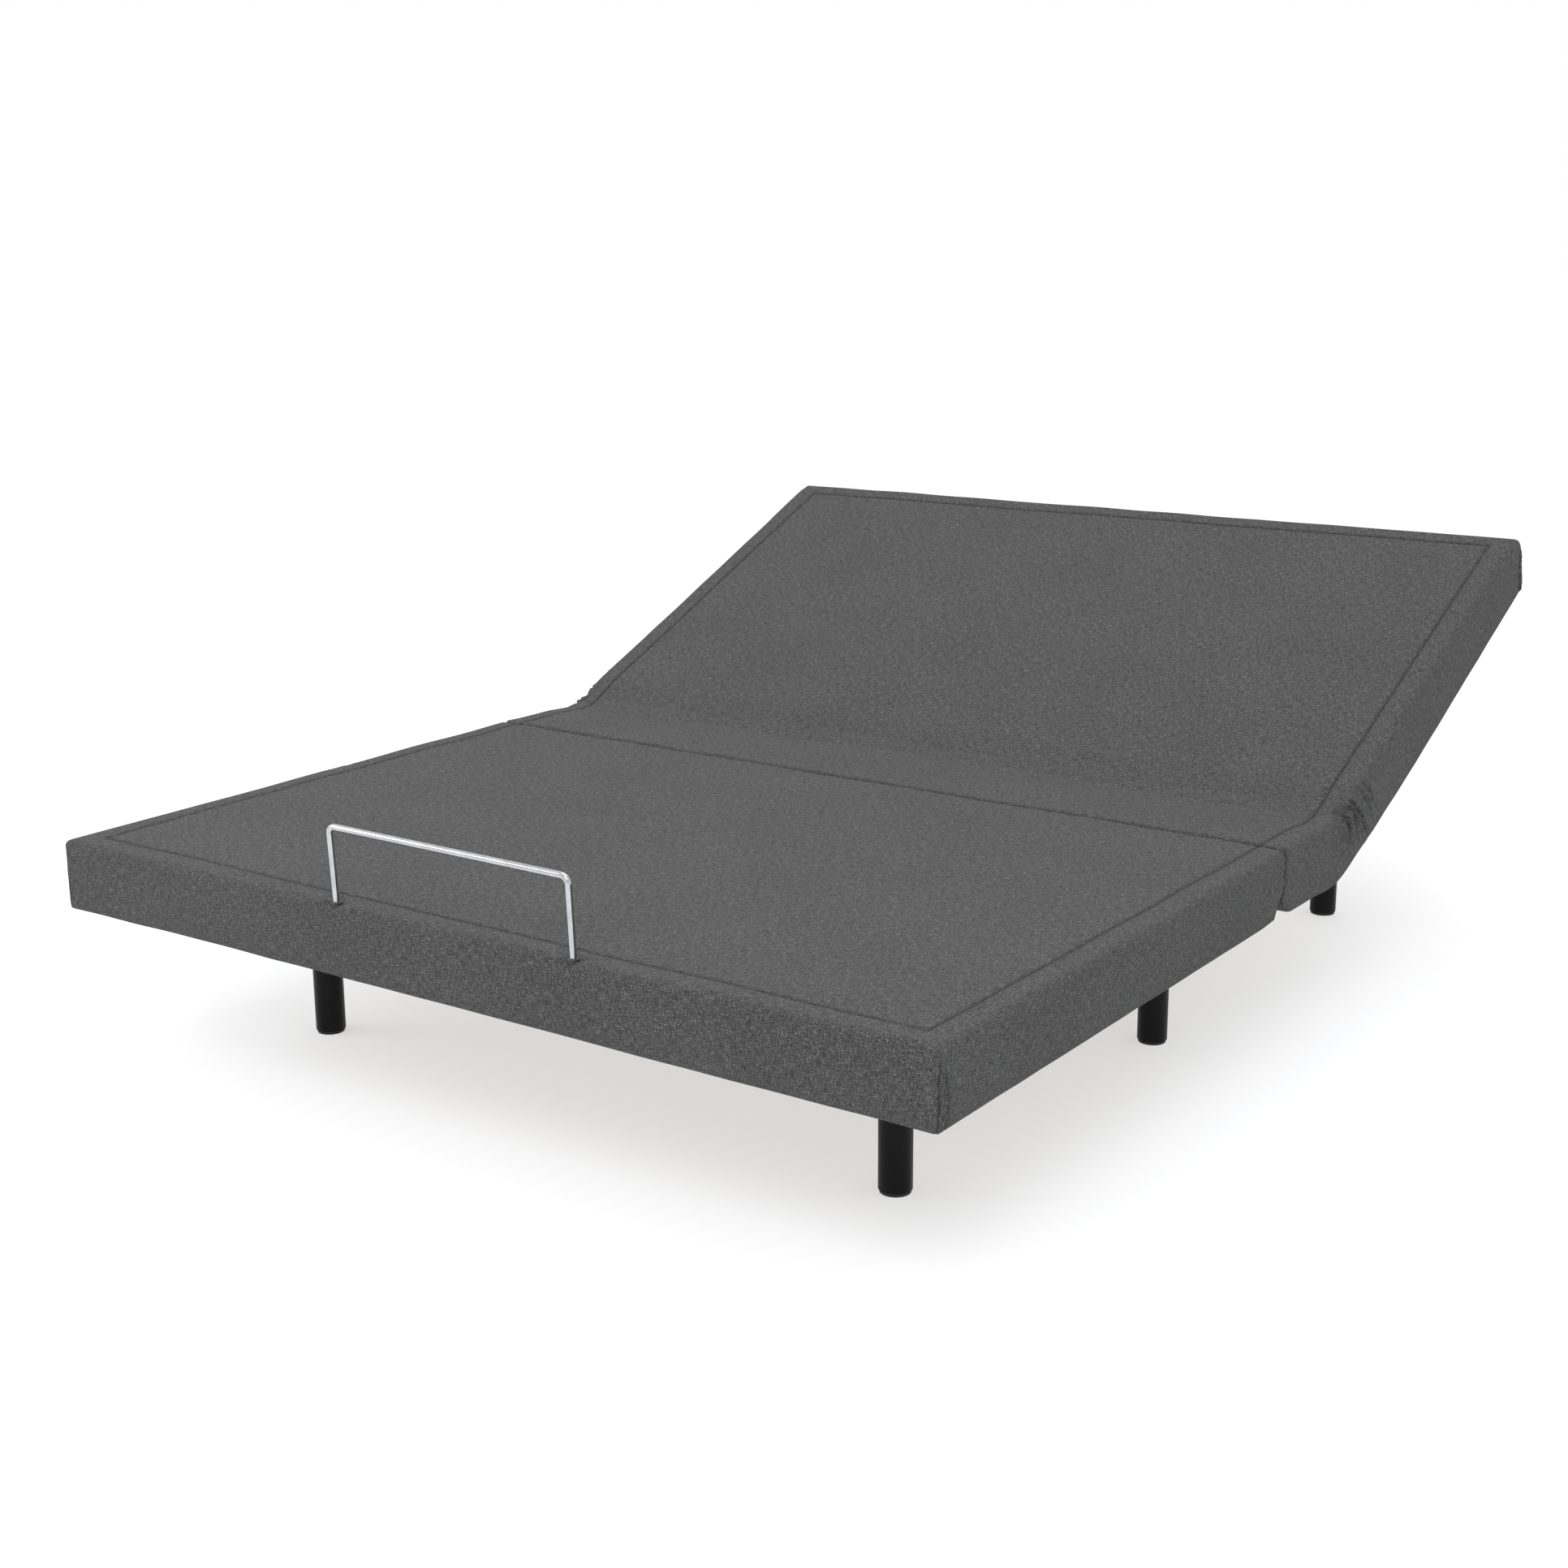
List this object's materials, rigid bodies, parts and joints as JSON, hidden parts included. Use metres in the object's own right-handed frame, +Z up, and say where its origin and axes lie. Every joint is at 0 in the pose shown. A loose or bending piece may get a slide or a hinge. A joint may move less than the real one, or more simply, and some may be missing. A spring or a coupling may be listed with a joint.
{
  "type": "adjustable bed base",
  "caption": "Upholstered queen-size adjustable bed base on black round legs, with a head section that tilts, a thigh section that lifts and a foot section that follows it.",
  "frame": {"origin": "on the floor, in the middle of the box of the base as stored", "axes": "+Y from the foot end to the head end, +X to the right seen from the foot end, +Z up"},
  "size_m": [1.524, 1.9866, 0.6789],
  "materials": {
    "upholstery": "heathered woven grey upholstery cloth over foam",
    "deck_foam": "thin foam under the same cloth",
    "plywood": "sealed plywood",
    "frame_steel": "black powder coat",
    "zinc_steel": "zinc plated",
    "chrome_bar": "polished chrome",
    "leg_black": "black satin",
    "rubber_black": "moulded",
    "nylon": "natural nylon",
    "black_plastic": "fine textured",
    "actuator_alloy": "anodised",
    "rod_steel": "ground"
  },
  "bodies": {
    "frame": {"seat_board": "plywood", "seat_foam": "deck_foam", "seat_side_pads": "upholstery", "seat_hinge_leaves": "zinc_steel", "seat_spacers": "black_plastic", "hinge_pins": "zinc_steel", "side_rail_left": "frame_steel", "side_rail_right": "frame_steel", "end_cross_tubes": "frame_steel", "drop_cross_tubes": "frame_steel", "deck_bumpers": "rubber_black", "headboard_plates": "frame_steel", "leg_plates": "frame_steel", "leg_studs": "zinc_steel", "leg_glides": "rubber_black", "leg_foot_left": "leg_black", "leg_foot_right": "leg_black", "leg_middle_left": "leg_black", "leg_middle_right": "leg_black", "leg_head_left": "leg_black", "leg_head_right": "leg_black", "tube_bearings": "black_plastic", "frame_bolts": "zinc_steel", "actuator_tubes": "actuator_alloy", "actuator_gearboxes": "black_plastic", "actuator_motors": "black_plastic", "actuator_brackets": "frame_steel", "control_box": "black_plastic", "power_supply": "black_plastic", "drive_leads": "black_plastic"},
    "head_section": {"head_board": "plywood", "head_foam": "deck_foam", "head_side_pads": "upholstery", "head_end_pad": "upholstery", "head_hinge_leaves": "zinc_steel", "head_tracks": "black_plastic"},
    "thigh_section": {"thigh_board": "plywood", "thigh_foam": "deck_foam", "thigh_side_pads": "upholstery", "thigh_hinge_leaves": "zinc_steel", "thigh_tracks": "black_plastic"},
    "foot_section": {"foot_board": "plywood", "foot_foam": "deck_foam", "foot_side_pads": "upholstery", "foot_end_pad": "upholstery", "foot_hinge_leaves": "zinc_steel", "foot_link_brackets": "zinc_steel", "retainer_bar": "chrome_bar", "retainer_sockets": "black_plastic"},
    "head_lift": {"head_torque_tube": "frame_steel", "head_lift_arms": "frame_steel"},
    "head_roller_l": {"head_roller_left": "nylon"},
    "head_roller_r": {"head_roller_right": "nylon"},
    "thigh_lift": {"thigh_torque_tube": "frame_steel", "thigh_lift_arms": "frame_steel"},
    "thigh_roller_l": {"thigh_roller_left": "nylon"},
    "thigh_roller_r": {"thigh_roller_right": "nylon"},
    "head_rod": {"head_actuator_rod": "rod_steel"},
    "thigh_rod": {"thigh_actuator_rod": "rod_steel"},
    "foot_link": {"foot_links": "frame_steel"}
  },
  "joints": [
    {"name": "head_fold", "type": "hinge", "parent": "frame", "child": "head_section", "pos_m": [0, 0.17069, 0.302], "axis": [1, 0, 0], "range_deg": [-23.2, 36.8]},
    {"name": "thigh_fold", "type": "hinge", "parent": "frame", "child": "thigh_section", "pos_m": [0, -0.04131, 0.328], "axis": [-1, 0, 0], "range_deg": [0, 40]},
    {"name": "knee_fold", "type": "hinge", "parent": "thigh_section", "child": "foot_section", "pos_m": [0, -0.43331, 0.302], "axis": [-1, 0, 0], "range_deg": [-51, 0.5]},
    {"name": "head_lift_turn", "type": "hinge", "parent": "frame", "child": "head_lift", "pos_m": [0, 0.11069, 0.275], "axis": [1, 0, 0], "range_deg": [-20.72, 32.28]},
    {"name": "thigh_lift_turn", "type": "hinge", "parent": "frame", "child": "thigh_lift", "pos_m": [0, 0.04869, 0.275], "axis": [-1, 0, 0], "range_deg": [-1, 27.4]},
    {"name": "head_rod_slide", "type": "slide", "parent": "frame", "child": "head_rod", "axis": [0, 1, 0], "range_m": [-0.03122, 0.04893]},
    {"name": "thigh_rod_slide", "type": "slide", "parent": "frame", "child": "thigh_rod", "axis": [0, -1, 0], "range_m": [-0.001, 0.04211]},
    {"name": "foot_link_swing", "type": "hinge", "parent": "frame", "child": "foot_link", "pos_m": [0, -0.38431, 0.275], "axis": [-1, 0, 0], "range_deg": [-0.5, 38.62]},
    {"name": "head_roller_l_spin", "type": "hinge", "parent": "head_lift", "child": "head_roller_l", "pos_m": [-0.316, 0.50446, 0.42109], "axis": [1, 0, 0], "continuous": true},
    {"name": "thigh_roller_l_spin", "type": "hinge", "parent": "thigh_lift", "child": "thigh_roller_l", "pos_m": [-0.236, -0.25126, 0.28059], "axis": [1, 0, 0], "continuous": true},
    {"name": "head_roller_r_spin", "type": "hinge", "parent": "head_lift", "child": "head_roller_r", "pos_m": [0.316, 0.50446, 0.42109], "axis": [1, 0, 0], "continuous": true},
    {"name": "thigh_roller_r_spin", "type": "hinge", "parent": "thigh_lift", "child": "thigh_roller_r", "pos_m": [0.236, -0.25126, 0.28059], "axis": [1, 0, 0], "continuous": true}
  ],
  "couplings": [
    {"joint": "knee_fold", "follows": "thigh_fold", "ratio": -1.259},
    {"joint": "head_lift_turn", "follows": "head_fold", "ratio": 0.85},
    {"joint": "head_rod_slide", "follows": "head_fold", "m_per_rad": 0.074626},
    {"joint": "thigh_lift_turn", "follows": "thigh_fold", "ratio": 0.66},
    {"joint": "thigh_rod_slide", "follows": "thigh_fold", "m_per_rad": 0.058889},
    {"joint": "foot_link_swing", "follows": "thigh_fold", "ratio": 0.953}
  ]
}
